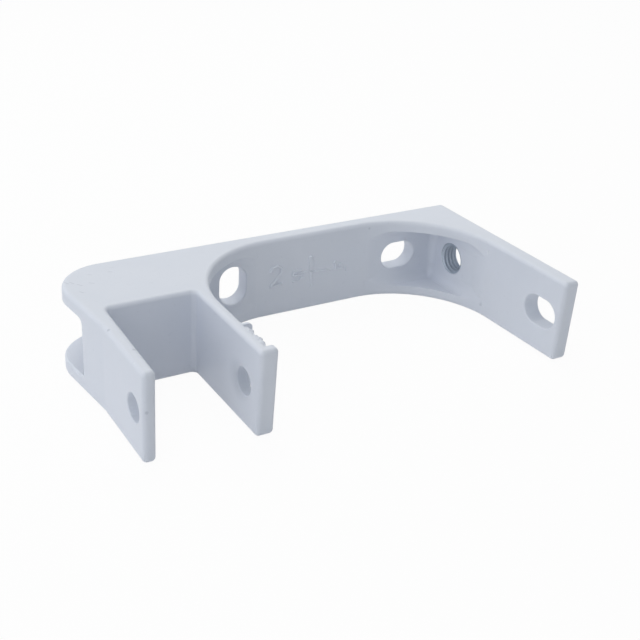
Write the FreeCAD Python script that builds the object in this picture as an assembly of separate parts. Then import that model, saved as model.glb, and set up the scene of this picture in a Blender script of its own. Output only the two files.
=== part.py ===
import FreeCAD, Part
import math
import os
from FreeCAD import Vector

# Cast bracket that carries the square tube of a folding-arm awning.
# It is one casting: a back bar with two short arms, which hold the tube between them, and one long arm
# at its far end.
# X runs along the back bar, Y points out of its mounting face and Z runs along the tube.
# While it is drawn, x = 0 is the outer side of the left arm at the mounting face and y = 0 is that face.
# A depth is a distance in front of the mounting face.

# Overall sizes
height = 41.5
length = 211.0
edge_round = 2.0
arm_taper = 0.011
face_taper = 0.007

# Back bar and long arm
bar_wall = 8.5
long_arm_reach = 104.5
long_arm_wall = 9.5
long_tip_lean = 0.025
sweep_radius = 47.5

# Seat of the square tube between the two short arms
tube_width = 40.0
tube_play = 0.5
seat_depth = 43.5
seat_floor_wall = 5.5
seat_corner_radius = 2.5
left_arm_end = 10.3
left_arm_wall = 6.7
left_tip_lean = 0.008
middle_arm_end = 13.7
middle_arm_wall = 5.5
middle_tip_lean = 0.045

# Cross bolt in front of the tube, and the two ribs that keep its nut from turning
bolt_radius = 6.0
nut_width = 19.0
nut_play = 0.4
rib_height = 3.4
rib_thickness = 2.8
rib_root_radius = 0.6

# Rounded end beside the left arm
ear_radius = 22.0
flare_start_depth = 58.0
flare = 6.5
flare_blend_radius = 15.0

# Hollow behind the seat, open to the left and to the back
hollow_flange = 7.1
hollow_corner_radius = 4.0
hollow_root_radius = 2.5
hollow_bevel = 0.8

# Pockets behind both sweeps of the large cavity
pocket_flange = 5.5
pocket_corner_radius = 4.0
pocket_setback = 0.2

# Holes
slot_width = 14.2
slot_length = 20.0
upright_slot_x = 83.3
level_slot_end = 32.2
arm_slot_end = 13.9
thread_radius = 8.0
thread_depth = 24.0
mouth_bevel = 0.4

# Faces of the arms, which taper a little towards the tips
seat_left = left_arm_wall + arm_taper * seat_depth
seat_right = seat_left + tube_width + tube_play
bolt_depth = seat_depth + tube_width + bolt_radius
left_arm_reach = bolt_depth + left_arm_end
middle_arm_reach = bolt_depth + middle_arm_end
arm_slot_depth = long_arm_reach - arm_slot_end
level_slot_x = length - level_slot_end
middle_arm_face = seat_right + middle_arm_wall
rib_face = middle_arm_face + rib_height
nut_channel = nut_width + nut_play
rib_back_depth = bolt_depth - nut_channel / 2 - rib_thickness

# Leftmost point of the rounded end
ear_angle = math.atan2(flare_start_depth, flare + arm_taper * flare_start_depth)
ear_left = ear_radius / math.tan(ear_angle / 2) - ear_radius - flare


def left_arm_outer(depth):
    return arm_taper * depth


def left_arm_inner(depth):
    return seat_left - arm_taper * (depth - seat_depth)


def middle_arm_inner(depth):
    return seat_right + arm_taper * (depth - seat_depth)


def long_arm_inner(depth):
    return length - long_arm_wall + arm_taper * depth


def rounded_outline(corners, level):
    """Closed wire through corners (x, y, radius), each rounded by its own tangent arc."""
    starts = []
    ends = []
    arcs = []
    count = len(corners)
    for index in range(count):
        x, y, radius = corners[index]
        corner = Vector(x, y, level)
        before = Vector(corners[index - 1][0], corners[index - 1][1], level) - corner
        after = Vector(corners[(index + 1) % count][0], corners[(index + 1) % count][1], level) - corner
        before.normalize()
        after.normalize()
        if radius == 0:
            starts.append(corner)
            ends.append(corner)
            arcs.append(None)
            continue
        half = before.getAngle(after) / 2
        tangent = radius / math.tan(half)
        middle = before + after
        middle.normalize()
        reach = radius / math.sin(half) - radius
        starts.append(corner + before * tangent)
        ends.append(corner + after * tangent)
        arcs.append(corner + middle * reach)
    edges = []
    for index in range(count):
        if arcs[index] is not None:
            edges.append(Part.Arc(starts[index], arcs[index], ends[index]).toShape())
        edges.append(Part.LineSegment(ends[index], starts[(index + 1) % count]).toShape())
    return Part.Wire(edges)


def prism(corners, bottom, top):
    """Solid between two levels over a rounded outline."""
    face = Part.Face(rounded_outline(corners, bottom))
    return face.extrude(Vector(0, 0, top - bottom))


def rim_edges(shape):
    """Edges around the upper and lower faces of a shape."""
    found = []
    for face in shape.Faces:
        normal = face.normalAt(0, 0)
        if isinstance(face.Surface, Part.Plane) and abs(normal.z) > 0.9:
            found.extend(face.Edges)
    return found


def upright_edges(shape):
    """Upright edges where two flat faces of a shape meet."""
    found = []
    for edge in shape.Edges:
        faces = shape.ancestorsOfType(edge, Part.Face)
        flat = all(isinstance(face.Surface, Part.Plane) for face in faces)
        if flat and abs(edge.tangentAt(edge.FirstParameter).z) > 0.9:
            found.append(edge)
    return found


def taper_block():
    """Space between the casting's upper and lower faces, which close up towards the tips."""
    front = -2 * long_arm_reach
    behind = long_arm_reach
    left = -2 * ear_radius
    section = Part.makePolygon([
        Vector(left, behind, -face_taper * behind),
        Vector(left, behind, height + face_taper * behind),
        Vector(left, front, height + face_taper * front),
        Vector(left, front, -face_taper * front),
        Vector(left, behind, -face_taper * behind),
    ])
    return Part.Face(section).extrude(Vector(length - 2 * left, 0, 0))


def arm_tips():
    """Reach and lean of each arm's tip, and a place on each side of it where no other arm stands between."""
    seat_middle = (seat_left + seat_right) / 2
    return [
        (left_arm_reach, left_tip_lean, -2 * ear_radius, seat_middle),
        (middle_arm_reach, middle_tip_lean, seat_middle, length / 2),
        (long_arm_reach, long_tip_lean, length / 2, 2 * length),
    ]


def tip_wedge(reach, lean, left, right):
    """What is cut off an arm's tip, so that it leans back below the rounding of its upper edge."""
    full = height - face_taper * reach - edge_round
    low = full - height
    high = full + height
    section = Part.makePolygon([
        Vector(left, -reach - lean * (high - full), high),
        Vector(left, -reach + lean * (full - low), low),
        Vector(left, -2 * reach, low),
        Vector(left, -2 * reach, high),
        Vector(left, -reach - lean * (high - full), high),
    ])
    return Part.Face(section).extrude(Vector(right - left, 0, 0))


def bracket_body():
    """The casting's outline in plan, raised to its tapering height, with rounded upper and lower edges."""
    left_end = left_arm_reach + edge_round
    middle_end = middle_arm_reach + edge_round
    long_end = long_arm_reach + edge_round
    outline = [
        (-flare, 0, ear_radius),
        (left_arm_outer(flare_start_depth), -flare_start_depth, flare_blend_radius),
        (left_arm_outer(left_end), -left_end, 0),
        (left_arm_inner(left_end), -left_end, 0),
        (seat_left, -seat_depth, seat_corner_radius),
        (seat_right, -seat_depth, seat_corner_radius),
        (middle_arm_inner(middle_end), -middle_end, 0),
        (rib_face, -middle_end, 0),
        (rib_face, -rib_back_depth, 0),
        (middle_arm_face, -rib_back_depth, rib_root_radius),
        (middle_arm_face, -bar_wall, sweep_radius),
        (long_arm_inner(bar_wall), -bar_wall, sweep_radius),
        (long_arm_inner(long_end), -long_end, 0),
        (length, -long_end, 0),
        (length, 0, 0),
    ]
    body = prism(outline, -height, 2 * height).common(taper_block())
    for reach, lean, left, right in arm_tips():
        body = body.cut(tip_wedge(reach, lean, left, right))
    body = body.Solids[0]
    return body.makeFillet(edge_round, rim_edges(body) + upright_edges(body))


def channel_section(depth):
    """Section of the nut's channel at one depth. Its shoulders round the arm's edges inside it."""
    inner = middle_arm_face - edge_round
    outer = rib_face + edge_round
    floor = face_taper * depth
    roof = height - floor
    turn = edge_round * math.sqrt(0.5)
    low = Vector(inner, -depth, floor)
    low_middle = Vector(inner + turn, -depth, floor + edge_round - turn)
    low_end = Vector(middle_arm_face, -depth, floor + edge_round)
    high_end = Vector(middle_arm_face, -depth, roof - edge_round)
    high_middle = Vector(inner + turn, -depth, roof - edge_round + turn)
    high = Vector(inner, -depth, roof)
    above = Vector(inner, -depth, height + edge_round)
    outer_above = Vector(outer, -depth, height + edge_round)
    outer_below = Vector(outer, -depth, -edge_round)
    below = Vector(inner, -depth, -edge_round)
    return Part.Wire([
        Part.Arc(low, low_middle, low_end).toShape(),
        Part.LineSegment(low_end, high_end).toShape(),
        Part.Arc(high_end, high_middle, high).toShape(),
        Part.LineSegment(high, above).toShape(),
        Part.LineSegment(above, outer_above).toShape(),
        Part.LineSegment(outer_above, outer_below).toShape(),
        Part.LineSegment(outer_below, below).toShape(),
        Part.LineSegment(below, low).toShape(),
    ])


def nut_channel_tool():
    """Space for the nut between the two ribs on the far side of the middle arm."""
    back = channel_section(bolt_depth - nut_channel / 2)
    front = channel_section(bolt_depth + nut_channel / 2)
    return Part.makeLoft([back, front], True, True)


def hollow_tool():
    """The hollow behind the seat, from the open end of the ear to the middle arm."""
    outside = 2 * ear_radius
    floor = -(seat_depth - seat_floor_wall)
    block = prism([
        (-outside, floor, 0),
        (seat_right, floor, hollow_corner_radius),
        (seat_right, outside, 0),
        (-outside, outside, 0),
    ], hollow_flange, height - hollow_flange)
    return block.makeFillet(hollow_root_radius, rim_edges(block))


def pocket_tool(arm_face, arm_face_front, side):
    """The pocket where the back bar and an arm run on to meet behind a sweep, on one side of the arm."""
    sweep_x = arm_face_front + side * sweep_radius
    sweep_y = -bar_wall - sweep_radius
    inset = math.sqrt(2 * sweep_radius * pocket_setback)
    far = sweep_x - side * inset
    front = sweep_y + inset
    return prism([
        (far, front, 0),
        (arm_face_front, front, 0),
        (arm_face, -bar_wall, pocket_corner_radius),
        (far, -bar_wall, 0),
    ], pocket_flange, height - pocket_flange)


def slot_tool(start, along, across, through):
    """A slot's opening: its length along one axis, its width across it, cut along the third."""
    radius = slot_width / 2
    straight = slot_length / 2 - radius
    first = start + along * straight
    last = start - along * straight
    wire = Part.Wire([
        Part.LineSegment(last + across * radius, first + across * radius).toShape(),
        Part.Arc(first + across * radius, first + along * radius, first - across * radius).toShape(),
        Part.LineSegment(first - across * radius, last - across * radius).toShape(),
        Part.Arc(last - across * radius, last - along * radius, last + across * radius).toShape(),
    ])
    return Part.Face(wire).extrude(through)


def hole_tools():
    """The three fixing slots, the bore of the cross bolt and the core of the adjusting thread."""
    along_x = Vector(1, 0, 0)
    along_y = Vector(0, 1, 0)
    along_z = Vector(0, 0, 1)
    middle = height / 2
    in_bar = -2 * bar_wall
    in_arm = length - 2 * long_arm_wall
    through_bar = along_y * (3 * bar_wall)
    through_arm = along_x * (3 * long_arm_wall)
    bolt_length = rib_face + 2 * bolt_radius
    return [
        slot_tool(Vector(upright_slot_x, in_bar, middle), along_z, along_x, through_bar),
        slot_tool(Vector(level_slot_x, in_bar, middle), along_x, along_z, through_bar),
        slot_tool(Vector(in_arm, -arm_slot_depth, middle), along_y, along_z, through_arm),
        Part.makeCylinder(bolt_radius, bolt_length, Vector(-bolt_radius, -bolt_depth, middle), along_x),
        Part.makeCylinder(thread_radius, 3 * long_arm_wall, Vector(in_arm, -thread_depth, middle), along_x),
    ]


def cut_bevelled(shape, tool, bevel):
    """The shape less a tool, with a bevel round each mouth where the tool comes out of the shape."""
    rest = shape.cut(tool).Solids[0]
    rims = []
    for edge in rest.Edges:
        middle = Part.Vertex(edge.valueAt((edge.FirstParameter + edge.LastParameter) / 2))
        if tool.distToShape(middle)[0] > 1e-4:
            continue
        if shape.distToShape(middle)[0] < 1e-4 and not shape.isInside(middle.Point, 1e-3, False):
            rims.append(edge)
    return rest.makeChamfer(bevel, rims)


def bracket():
    """The finished casting, moved so that the centre of its base is the origin."""
    shape = bracket_body().cut(nut_channel_tool()).Solids[0]
    shape = cut_bevelled(shape, hollow_tool(), hollow_bevel)
    shape = shape.cut(pocket_tool(middle_arm_face, middle_arm_face, 1))
    shape = shape.cut(pocket_tool(long_arm_inner(bar_wall), long_arm_inner(bar_wall + sweep_radius), -1))
    for tool in hole_tools():
        shape = cut_bevelled(shape, tool, mouth_bevel)
    shape.translate(Vector(-(ear_left + length) / 2, long_arm_reach / 2, 0))
    return shape.Solids[0]


os.makedirs("parts", exist_ok=True)
bracket().exportStep("parts/bracket.step")
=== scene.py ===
import math
import bmesh
import bpy
import numpy as np
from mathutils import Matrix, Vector


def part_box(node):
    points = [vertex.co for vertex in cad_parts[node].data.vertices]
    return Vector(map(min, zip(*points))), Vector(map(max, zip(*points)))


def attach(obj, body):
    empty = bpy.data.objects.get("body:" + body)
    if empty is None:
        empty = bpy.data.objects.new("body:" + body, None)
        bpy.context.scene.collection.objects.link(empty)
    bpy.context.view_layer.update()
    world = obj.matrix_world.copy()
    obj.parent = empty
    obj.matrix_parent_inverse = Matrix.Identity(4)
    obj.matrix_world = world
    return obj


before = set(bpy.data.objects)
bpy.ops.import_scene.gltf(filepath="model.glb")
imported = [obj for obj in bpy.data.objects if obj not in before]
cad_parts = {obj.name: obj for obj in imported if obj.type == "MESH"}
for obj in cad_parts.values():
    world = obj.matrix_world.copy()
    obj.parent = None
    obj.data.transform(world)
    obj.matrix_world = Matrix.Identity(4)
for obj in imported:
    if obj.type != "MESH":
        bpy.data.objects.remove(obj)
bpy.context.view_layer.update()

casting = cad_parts["bracket"]
low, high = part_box("bracket")

# Places on the casting, in metres. A depth is a distance in front of the mounting face at high.y,
# and along is a distance along the back bar from the left arm's outer side.
bar_length = 0.211
bar_wall = 0.0085
face_taper = 0.007
left_side = high.x - bar_length
half_height = high.z / 2

# Tapped hole in the long arm: its turns run out at both ends, and a burr narrows the outer one
thread_depth = 0.024
thread_radius = 0.008
thread_ridge = 0.0013
thread_pitch = 0.002
thread_start = high.x - 0.0092
thread_end = high.x - 0.0004
thread_run_out = 0.0012
burr_height = 0.0009
burr_length = 0.0016

# Nut's channel on the far side of the middle arm, where the casting kept a lumpy bead of flash
channel_face = left_side + 0.05318
channel_back = 0.0796
channel_front = 0.0994
bead_inset = 0.00045
bead_drop = 0.0012

# Pockets behind the two wide sweeps of the back bar into the middle arm and the long arm
sweep_radius = 0.0475
long_arm_wall = 0.0095
arm_taper = 0.011
pocket_flange = 0.0055
pocket_step = 0.0002
pocket_corner = 0.004
ramp_length = 0.009
short_ramp_length = 0.005
cove_reach = 0.0039
left_cove_height = 0.0046
right_cove_height = 0.0066

# A skin runs on just under the casting's surface and closes well under it
just_under = 0.00003
well_under = 0.0003


def millimetres(along, depth, level):
    """A place given in millimetres along the bar, in front of the mounting face and above the base."""
    return Vector((left_side + along / 1000, high.y - depth / 1000, level / 1000))


class Wire:
    """A value in a node tree. Arithmetic on it adds Math nodes. A wire with no socket only adds others."""

    def __init__(self, tree, socket):
        self.tree = tree
        self.socket = socket

    def node(self, kind, sockets, **settings):
        """Adds any other node: its settings first, then the values or links of its sockets."""
        made = self.tree.nodes.new(kind)
        for name, value in settings.items():
            setattr(made, name, value)
        for key, value in sockets.items():
            if isinstance(value, Wire):
                self.tree.links.new(value.socket, made.inputs[key])
            else:
                made.inputs[key].default_value = value
        return made

    def math(self, operation, *others, clamp=False):
        sockets = dict(enumerate((self,) + others))
        made = self.node("ShaderNodeMath", sockets, operation=operation, use_clamp=clamp)
        return Wire(self.tree, made.outputs[0])

    def vector(self, operation, *others, out=0):
        sockets = dict(enumerate((self,) + others))
        made = self.node("ShaderNodeVectorMath", sockets, operation=operation)
        return Wire(self.tree, made.outputs[out])

    def __add__(self, other):
        return self.math("ADD", other)

    __radd__ = __add__

    def __mul__(self, other):
        return self.math("MULTIPLY", other)

    __rmul__ = __mul__

    def __sub__(self, other):
        return self.math("SUBTRACT", other)

    def __rsub__(self, other):
        return self * -1.0 + other

    def __truediv__(self, other):
        return self.math("DIVIDE", other)

    def most(self, other):
        return self.math("MAXIMUM", other)

    def fade(self, start, end):
        """1 below start, 0 above end, smooth between."""
        sockets = {"Value": self, "From Min": start, "From Max": end, "To Min": 1.0, "To Max": 0.0}
        made = self.node("ShaderNodeMapRange", sockets, interpolation_type="SMOOTHSTEP")
        return Wire(self.tree, made.outputs["Result"])

    def noise(self, scale, detail):
        """Noise over this position, from 0 to 1, with so many cells to the metre."""
        made = self.node("ShaderNodeTexNoise", {"Vector": self, "Scale": scale, "Detail": detail})
        return Wire(self.tree, made.outputs["Fac"])

    def near(self, spot):
        """Distance from this position to a spot."""
        return self.vector("DISTANCE", tuple(spot), out=1)

    def near_line(self, first, last):
        """Distance from this position to a straight stretch between two spots: to the place on it that
        the position's share of the stretch reaches, with the share kept from 0 to 1."""
        stretch = last - first
        from_first = self.vector("SUBTRACT", tuple(first))
        share = from_first.vector("DOT_PRODUCT", tuple(stretch), out=1) / stretch.length_squared
        share = share.math("ADD", 0.0, clamp=True)
        sockets = {0: tuple(stretch), "Scale": share}
        reached = self.node("ShaderNodeVectorMath", sockets, operation="SCALE")
        return from_first.vector("DISTANCE", Wire(self.tree, reached.outputs[0]), out=1)

    def colour(self, first, last):
        """First colour where this is 0, last where it is 1. Either may be a wire. The Mix node has its
        colours at sockets 6 and 7, and the mixed one at output 2."""
        made = self.node("ShaderNodeMix", {0: self, 6: first, 7: last}, data_type="RGBA")
        return Wire(self.tree, made.outputs[2])

    def into(self, shader, name):
        self.tree.links.new(self.socket, shader.inputs[name])


def new_material(name):
    """Empty material: itself, its surface shader and the object's own position."""
    made = bpy.data.materials.new(name)
    made.use_nodes = True
    tree = made.node_tree
    places = Wire(tree, None).node("ShaderNodeTexCoord", {})
    return made, tree.nodes["Principled BSDF"], Wire(tree, places.outputs["Object"])


def strongest(wires):
    """The greatest of several wires."""
    most = wires[0]
    for wire in wires[1:]:
        most = most.most(wire)
    return most


def powder_coat():
    """Pale blue-grey powder coat over a casting: orange peel, fine grain and shallow casting waves in its
    height, a cloudy tint and sheen, scratches near the rounded end, nicks, a patch of painted shade
    beside the cross bolt's bore, specks, and light chips on the left arm. A mark fades with the distance
    from its place."""
    made, shader, spot = new_material("white powder coat")
    deep_tint = (0.685, 0.727, 0.815, 1)
    light_tint = (0.745, 0.777, 0.855, 1)
    chip_colour = (0.88, 0.90, 0.93, 1)
    # Colour of the wear marks, also used for the painted shade beside the cross bolt's bore
    wear_and_shade_colour = (0.42, 0.46, 0.54, 1)
    bar_top = 41.3
    cloud = spot.noise(35.0, 3.0)
    peel = spot.noise(900.0, 2.0)
    grain = spot.noise(3500.0, 1.0)
    # Places in millimetres, and the distances over which a mark fades in metres
    scratches = strongest([
        spot.near_line(millimetres(*first, bar_top), millimetres(*last, bar_top)).fade(0.00012, 0.00042)
        for first, last in [
            ((-1.2, 13.6), (0.2, 16.4)),
            ((1.2, 15.0), (2.4, 17.2)),
            ((3.6, 18.4), (5.0, 20.3)),
            ((8.8, 18.9), (10.4, 20.2)),
            ((2.2, 25.6), (3.3, 27.0)),
            ((10.7, 10.9), (12.3, 11.8)),
            ((20.0, 11.5), (21.4, 12.3)),
        ]
    ])
    nicks = strongest([
        spot.near(millimetres(*place)).fade(0.0004, 0.0011)
        for place in [
            (159.6, 8.2, 38.6),
            (165.2, 8.0, 37.4),
            (-0.2, 84.0, 23.0),
            (-0.4, 72.0, 30.0),
            (2.5, 99.9, 24.0),
            (1.6, 62.0, 41.0),
            (5.2, 81.0, 41.0),
        ]
    ])
    # Painted shade: a soft darker patch beside the middle arm's cross bolt bore stands in for the shade
    # there
    painted_shade_by_bore = spot.near(millimetres(48.0, 85.5, 19.5)).fade(0.002, 0.011)
    specks = 1.0 - spot.noise(420.0, 1.0).fade(0.70, 0.735)
    tint = cloud.colour(deep_tint, light_tint)
    # Scratches, nicks and specks are wear; the patch beside the bore is painted shade
    wear_and_painted_shade = strongest([scratches * 0.35, nicks * 0.5, painted_shade_by_bore * 0.5, specks * 0.06])
    chips = strongest([
        spot.near(millimetres(*place)).fade(0.0003, 0.0009)
        for place in [
            (-0.3, 57.0, 33.0),
            (-0.3, 63.5, 38.6),
            (-0.3, 68.0, 35.5),
            (-0.3, 79.0, 37.0),
            (-0.3, 88.5, 31.0),
            (0.8, 71.0, 41.0),
            (1.4, 90.0, 40.9),
        ]
    ])
    chipped = (chips * 0.45).colour(tint, chip_colour)
    # Darkens the coat with the wear marks and with the painted shade beside the bore
    worn_and_shaded = wear_and_painted_shade.colour(chipped, wear_and_shade_colour)
    worn_and_shaded.into(shader, "Base Color")
    (0.46 + 0.10 * cloud + 0.05 * peel).into(shader, "Roughness")
    shader.inputs["Coat Weight"].default_value = 0.12
    shader.inputs["Coat Roughness"].default_value = 0.25
    waves = spot.noise(120.0, 2.0)
    # Heights in metres
    height = peel * 0.000035 + grain * 0.000008 + waves * 0.00018 - scratches * 0.00008 - nicks * 0.0002
    bump = spot.node("ShaderNodeBump", {"Height": height, "Strength": 0.6, "Distance": 1.0})
    Wire(spot.tree, bump.outputs["Normal"]).into(shader, "Normal")
    return made


def cut_thread():
    """Bare cut metal inside the tapped hole, dulled by a little coating dust."""
    made, shader, spot = new_material("cut thread")
    dust = spot.noise(1200.0, 3.0)
    dust.colour((0.34, 0.40, 0.48, 1), (0.56, 0.61, 0.69, 1)).into(shader, "Base Color")
    (0.6 - 0.35 * dust).into(shader, "Metallic")
    (0.42 + 0.25 * dust).into(shader, "Roughness")
    return made


def skin_faces(rows, loop, start, joined):
    """Quads between neighbouring rows of a grid whose rows are closed loops of points. The last row joins
    the first one, or the first and last rows are closed by a face each."""
    index = start + np.arange(rows * loop).reshape(rows, loop)
    beside = np.roll(index, -1, axis=1)
    if joined:
        quads = np.stack([index, beside, np.roll(beside, -1, axis=0), np.roll(index, -1, axis=0)], -1)
        return quads.reshape(-1, 4).tolist()
    quads = np.stack([index[:-1], beside[:-1], beside[1:], index[1:]], -1)
    return quads.reshape(-1, 4).tolist() + [index[0, ::-1].tolist(), index[-1].tolist()]


def skinned(name, grids, material, joined=False):
    """One piece of the casting from grids of points, each of them a skin of its own."""
    faces = []
    start = 0
    for grid in grids:
        rows, loop = grid.shape[:2]
        faces += skin_faces(rows, loop, start, joined)
        start += rows * loop
    points = np.concatenate([grid.reshape(-1, 3) for grid in grids])
    mesh = bpy.data.meshes.new(name)
    mesh.from_pydata(points.tolist(), [], faces)
    shell = bmesh.new()
    shell.from_mesh(mesh)
    bmesh.ops.recalc_face_normals(shell, faces=shell.faces)
    shell.to_mesh(mesh)
    shell.free()
    mesh.polygons.foreach_set("use_smooth", np.ones(len(mesh.polygons), bool))
    mesh.materials.append(material)
    mesh.update()
    made = bpy.data.objects.new(name, mesh)
    bpy.context.scene.collection.objects.link(made)
    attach(made, "root")
    return made


def thread_turns(material):
    """Thin sleeve in the tapped hole, with one closed profile for each angle round the hole's axis. The
    profile runs out along the thread and back along the bore. Its inner radius is the bore's less the
    ridge height times a triangle wave of (distance along the axis / pitch - angle / full turn), with its
    crests and roots cut flat, and less a burr that grows evenly towards the outer end."""
    off_wall = 0.00002
    in_wall = 0.00005
    angles = np.linspace(0, 2 * np.pi, 96, endpoint=False)
    outward = np.linspace(thread_start, thread_end, 64)
    angle, along = np.meshgrid(angles, np.concatenate([outward, outward[::-1]]), indexing="ij")
    turn = (along - thread_start) / thread_pitch - angle / (2 * np.pi)
    wave = 1 - np.abs(2 * (turn % 1) - 1)
    ends = np.clip(np.minimum(along - thread_start, thread_end - along) / thread_run_out, 0, 1)
    inside = np.arange(along.shape[1]) < len(outward)
    ridge = np.clip((wave - 0.08) / 0.8, 0, 1) * thread_ridge * ends + off_wall
    burr = burr_height * np.clip((along - thread_end) / burr_length + 1, 0, 1)
    radius = thread_radius + np.where(inside, -ridge - burr, in_wall)
    level = half_height + radius * np.sin(angle)
    across = high.y - thread_depth + radius * np.cos(angle)
    sleeve = np.stack([along, across, level], -1)[:, ::-1]
    return skinned("thread_turns", [sleeve], material, joined=True)


def flash_bead(material):
    """Lumpy bead along the far upper edge of the middle arm, between its ribs. Each section is an oval
    round a line along the edge. Its radii grow by a row of bell curves and a few sines of angle and
    place, and shrink to nothing at both ends. It is flatter above than below."""
    depth, angle = np.meshgrid(
        np.linspace(channel_back, channel_front, 140),
        np.linspace(0, 2 * np.pi, 40, endpoint=False),
        indexing="ij",
    )
    share = (depth - channel_back) / (channel_front - channel_back)
    # Each lump's middle and width as shares of the bead's length, and its size in millimetres
    lumps = sum(
        size * np.exp(-((share - middle) / width) ** 2)
        for middle, width, size in [
            (0.09, 0.06, 0.75),
            (0.25, 0.08, 1.2),
            (0.50, 0.05, 0.7),
            (0.62, 0.07, 1.25),
            (0.78, 0.07, 0.9),
        ]
    )
    coarse = 0.12 * np.sin(3 * angle + 40 * share) * np.sin(61 * share)
    fine = 0.08 * np.sin(5 * angle - 97 * share)
    ends = np.sqrt(np.clip(1 - (2 * share - 1) ** 6, 0.0004, 1))
    radius = (0.70 + lumps + (coarse + fine)) * ends / 1000
    flatter_above = np.where(np.sin(angle) > 0, 0.75, 1.2)
    middle_level = high.z - face_taper * depth - bead_drop
    along = channel_face - bead_inset + radius * np.cos(angle)
    level = middle_level + 0.95 * radius * np.sin(angle) * flatter_above
    return skinned("flash_bead", [np.stack([along, high.y - depth, level], -1)], material)


def pocket_plan(face_at_back, face_at_front, side):
    """Wall of one pocket in plan, from its end on the back bar round the corner to its end on the arm:
    the places, the directions into the pocket and the room in front of the wall up to the sweep's surface.
    The corner is an arc, and the room is the distance along the direction to the sweep's circle."""
    straight = 60
    inset = math.sqrt(2 * sweep_radius * pocket_step)
    centre = np.array([face_at_front + side * sweep_radius, bar_wall + sweep_radius])
    on_bar = np.linspace(centre[0] - side * inset, face_at_back + side * pocket_corner, straight)
    on_arm = np.linspace(bar_wall + pocket_corner, centre[1] - inset, straight)
    turn = np.linspace(0, np.pi / 2, 12)[1:-1]
    arm_face = np.interp(on_arm, [bar_wall, centre[1]], [face_at_back, face_at_front])
    arc_along = face_at_back + side * pocket_corner * (1 - np.sin(turn))
    arc_depth = bar_wall + pocket_corner * (1 - np.cos(turn))
    places = np.stack([
        np.concatenate([on_bar, arc_along, arm_face]),
        np.concatenate([np.full(straight, bar_wall), arc_depth, on_arm]),
    ], -1)
    inward = np.stack([
        side * np.concatenate([np.zeros(straight), np.sin(turn), np.ones(straight)]),
        np.concatenate([np.ones(straight), np.cos(turn), np.zeros(straight)]),
    ], -1)
    away = places - centre
    nearing = np.sum(away * inward, axis=1)
    room = -nearing - np.sqrt(nearing ** 2 - np.sum(away ** 2, axis=1) + sweep_radius ** 2)
    return places, inward, room


def pocket_skins(places, inward, room, ramp_on_bar, cove_height):
    """Ramps and coves of one pocket, as grids. A ramp rises over the wall by a cubic of the share of the
    way into the pocket, which starts at the step's height with the sweep's own slope and ends at nothing.
    A cove is a quarter of an oval between the wall and a flange, cut off where it would stand out of the
    sweep. Both run on a little past their ends, just under the surface, so that no edge shows."""
    before_ramp = -0.03
    after_ramp = 1.03
    share = np.linspace(0, 1, 24)
    levels = np.linspace(pocket_flange, high.z - pocket_flange, 12)[:, None, None]
    skins = []
    for end, neighbour, ramp in [(0, 1, ramp_on_bar), (-1, -2, ramp_length)]:
        slope = math.sqrt(2 * pocket_step / sweep_radius) * ramp
        from_step = pocket_step * (2 * share ** 3 - 3 * share ** 2 + 1)
        from_slope = slope * (share ** 3 - 2 * share ** 2 + share)
        rise = np.concatenate([[pocket_step / 2], from_step + from_slope, [-just_under]])
        profile = np.concatenate([rise, np.full(len(rise), -well_under)])[None, :, None]
        way_in = np.concatenate([[before_ramp], share, [after_ramp]])
        way_in = np.concatenate([way_in, way_in[::-1]])[:, None] * ramp
        direction = places[neighbour] - places[end]
        direction /= np.linalg.norm(direction)
        plan = (places[end] + way_in * direction)[None] + profile * inward[end]
        skins.append(np.concatenate([plan + 0 * levels, levels + 0 * plan[..., :1]], -1))
    angle = np.linspace(0, np.pi / 2, 12)
    beyond = 1.04 * cove_height
    quarter = cove_height * (1 - np.cos(angle))
    above = np.concatenate([[-just_under], quarter, [beyond, beyond, -well_under]])
    out = np.minimum(cove_reach * (1 - np.sin(angle))[None], room[:, None])
    under = np.full((len(room), 3), -well_under) + [well_under - just_under, 0, 0]
    rise = np.concatenate([out[:, :1], out, under], axis=1)
    for level, upward in [(pocket_flange, 1), (high.z - pocket_flange, -1)]:
        plan = places[:, None] + rise[..., None] * inward[:, None]
        height = np.broadcast_to(level + upward * above, rise.shape)[..., None]
        skins.append(np.concatenate([plan, height], -1))
    return skins


def pocket_roots(material):
    """The soft roots of both pockets, in the coat that fills them."""
    long_face = bar_length - long_arm_wall + arm_taper * np.array([bar_wall, bar_wall + sweep_radius])
    middle_face = channel_face - left_side
    left = pocket_plan(middle_face, middle_face, 1)
    right = pocket_plan(*long_face, -1)
    skins = pocket_skins(*left, short_ramp_length, left_cove_height)
    skins += pocket_skins(*right, ramp_length, right_cove_height)
    start = np.array([left_side, high.y, 0])
    return skinned("pocket_roots", [start + skin * (1, -1, 1) for skin in skins], material)


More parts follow.
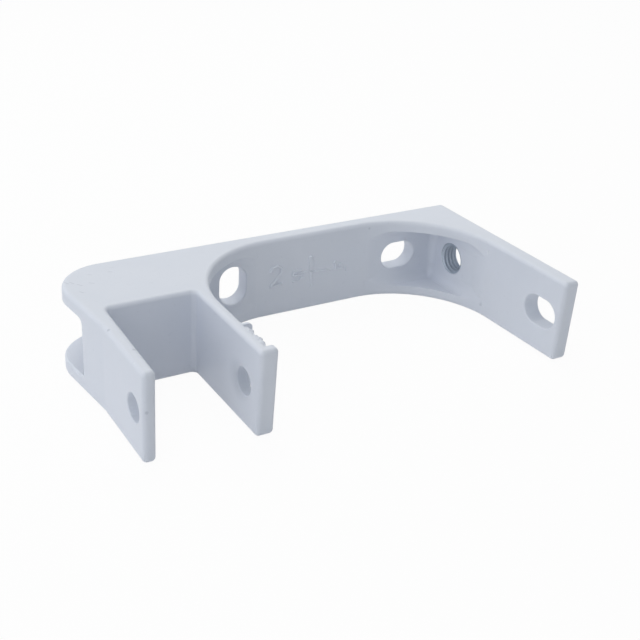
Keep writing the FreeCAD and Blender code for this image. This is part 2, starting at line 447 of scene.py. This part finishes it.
def raised_stroke(line, half_width, ridge_height):
    """Half-round ridge on the bar's inner face along a line of (along, level) places, all in millimetres.
    Its rise is the ridge height times the square root of 1 less the square of the share of the half
    width, and both shrink round the stroke's ends. The root lies in the wall."""
    spacing = 0.00035
    just_in = 0.00005
    deep_in = 0.0004
    corners = np.array(line) / 1000
    half = half_width / 1000
    lengths = np.concatenate([[0], np.cumsum(np.linalg.norm(np.diff(corners, axis=0), axis=1))])
    at = np.linspace(0, lengths[-1], max(6, int(lengths[-1] / spacing)))
    path = np.stack([np.interp(at, lengths, corners[:, 0]), np.interp(at, lengths, corners[:, 1])], -1)
    forward = np.gradient(path, axis=0)
    forward /= np.linalg.norm(forward, axis=1, keepdims=True)
    side = np.stack([-forward[:, 1], forward[:, 0]], -1)
    to_end = np.clip(np.minimum(at, lengths[-1] - at) / (0.5 * half), 0, 1)
    ends = np.sqrt(np.clip(1 - (1 - to_end) ** 2, 0.02, 1))[:, None]
    share = np.sin(np.linspace(-np.pi / 2, np.pi / 2, 9))[None, :]
    rise = ridge_height / 1000 * np.sqrt(1 - share ** 2) * ends
    place = path[:, None, :] + side[:, None, :] * (share * half * ends)[:, :, None]
    front = high.y - bar_wall
    ridge = np.stack([left_side + place[..., 0], front + just_in - rise, place[..., 1]], -1)
    sunk = np.full(len(path), front + deep_in)
    root = np.stack([left_side + path[:, 0], sunk, path[:, 1]], -1)[:, None, :]
    return np.concatenate([ridge, root], axis=1)


def cast_mark(material):
    """Cross of straight strokes cast on the bar's inner face, with plain numbers in its fields. Each
    stroke is a line, its half width and its height."""
    two = [
        (103.4, 23.8), (104.6, 26.4), (107.4, 27.2), (109.8, 25.4),
        (109.6, 22.8), (103.8, 16.4), (110.6, 16.8),
    ]
    five = [
        (121.4, 22.4), (116.6, 22.6), (116.2, 19.9), (119.4, 20.2),
        (121.5, 18.9), (119.8, 16.9), (116.0, 16.8),
    ]
    one = [(139.2, 22.6), (140.8, 23.8), (141.2, 18.8)]
    strokes = [
        ([(125.9, 29.4), (126.7, 21.4)], 1.25, 0.95),
        ([(126.7, 21.0), (127.4, 12.4)], 0.85, 0.65),
        ([(118.6, 21.1), (124.8, 20.6)], 0.45, 0.40),
        ([(128.4, 20.3), (136.2, 19.7)], 0.65, 0.75),
        ([(137.2, 19.6), (146.0, 19.0)], 0.40, 0.35),
        (two, 0.72, 0.9),
        (five, 0.60, 0.75),
        (one, 0.60, 0.70),
        ([(143.4, 22.9), (143.6, 20.6)], 0.70, 0.70),
        ([(147.0, 20.2), (147.2, 17.0)], 0.40, 0.45),
    ]
    return skinned("cast_mark", [raised_stroke(*stroke) for stroke in strokes], material)


def floor():
    """Plain pale floor. The camera and mirror rays see it lifted to white, with a trace of the shadow."""
    reach = 3.0
    below_casting = 0.0002
    whiteness = 0.95
    corners = [(-reach, -reach), (reach, -reach), (reach, reach), (-reach, reach)]
    mesh = bpy.data.meshes.new("floor")
    mesh.from_pydata([(x, y, low.z - below_casting) for x, y in corners], [], [(0, 1, 2, 3)])
    made = bpy.data.objects.new("floor", mesh)
    bpy.context.scene.collection.objects.link(made)
    pale, shader, spot = new_material("pale floor")
    shader.inputs["Base Color"].default_value = (0.9, 0.9, 0.9, 1)
    shader.inputs["Roughness"].default_value = 0.9
    tree = spot.tree
    glow = spot.node("ShaderNodeEmission", {"Color": (1, 1, 1, 1), "Strength": 1.0})
    lifted = white_rays(tree) * whiteness
    mixed = blended(lifted, shader, glow)
    mixed.into(tree.nodes["Material Output"], "Surface")
    mesh.materials.append(pale)


def white_rays(tree):
    """1 for the rays that see the backdrop white: from the camera, off a mirror or through glass."""
    path = Wire(tree, None).node("ShaderNodeLightPath", {})
    rays = ("Is Camera Ray", "Is Glossy Ray", "Is Transmission Ray")
    return strongest([Wire(tree, path.outputs[name]) for name in rays])


def blended(factor, first, last):
    """Mixed shader: the first node's where the factor is 0, the last one's where it is 1."""
    sockets = {0: factor, 1: Wire(factor.tree, first.outputs[0]), 2: Wire(factor.tree, last.outputs[0])}
    mix = factor.node("ShaderNodeMixShader", sockets)
    return Wire(factor.tree, mix.outputs[0])


def soft_lamp(name, spot, width, power, colour):
    """A square area lamp at a place, turned towards the casting's middle."""
    lamp_aim_level = 0.02
    lamp = bpy.data.lights.new(name, "AREA")
    lamp.shape = "SQUARE"
    lamp.size = width
    lamp.energy = power
    lamp.color = colour
    made = bpy.data.objects.new(name, lamp)
    made.location = spot
    aim = Vector((0, 0, lamp_aim_level)) - Vector(spot)
    made.rotation_euler = aim.to_track_quat("-Z", "Y").to_euler()
    bpy.context.scene.collection.objects.link(made)


def studio():
    """White backdrop for the camera and mirror rays, a dimmer sky for the rest, and soft lamps."""
    world = bpy.data.worlds.new("studio")
    bpy.context.scene.world = world
    world.use_nodes = True
    tree = world.node_tree
    tree.nodes.clear()
    seen = white_rays(tree)
    dim = seen.node("ShaderNodeBackground", {"Color": (0.86, 0.94, 1.0, 1), "Strength": 0.2})
    white = seen.node("ShaderNodeBackground", {"Color": (1, 1, 1, 1), "Strength": 1.0})
    seen.node("ShaderNodeOutputWorld", {"Surface": blended(seen, dim, white)})
    soft_lamp("overhead", (-0.25, -0.1, 1.1), 0.9, 3.4, (1.0, 0.98, 0.93))
    soft_lamp("overhead_back", (0.1, 0.7, 1.0), 0.8, 4.2, (1.0, 0.98, 0.93))
    soft_lamp("left", (-1.12, -0.2, 0.42), 1.1, 4.35, (0.96, 0.97, 1.0))
    soft_lamp("back_left", (-0.8, 0.9, 0.5), 0.7, 1.65, (0.97, 0.98, 1.0))
    soft_lamp("front_left", (-0.75, -1.0, 0.6), 0.8, 0.8, (0.93, 0.96, 1.0))
    soft_lamp("front_right", (0.7, -1.1, 0.6), 0.8, 1.3, (0.93, 0.96, 1.0))
    soft_lamp("back_right", (0.9, 0.8, 0.6), 0.8, 1.4, (0.95, 0.98, 1.0))


def camera():
    """Camera at the photograph's viewing angle. Its shift puts the casting in the photograph's place."""
    data = bpy.data.cameras.new("camera")
    data.sensor_width = 36.0
    data.lens = 57.45
    data.shift_x = 0.0703
    data.shift_y = -0.0781
    data.clip_start = 0.01
    made = bpy.data.objects.new("camera", data)
    made.location = (-0.21987, -0.35125, 0.23277)
    made.rotation_euler = [math.radians(angle) for angle in (65.371, -2.224, -28.339)]
    bpy.context.scene.collection.objects.link(made)
    bpy.context.scene.camera = made


coat = powder_coat()
casting.data.materials.clear()
casting.data.materials.append(coat)
thread_turns(cut_thread())
flash_bead(coat)
cast_mark(coat)
pocket_roots(coat)
floor()
studio()
camera()
bpy.context.scene.view_settings.view_transform = "Standard"
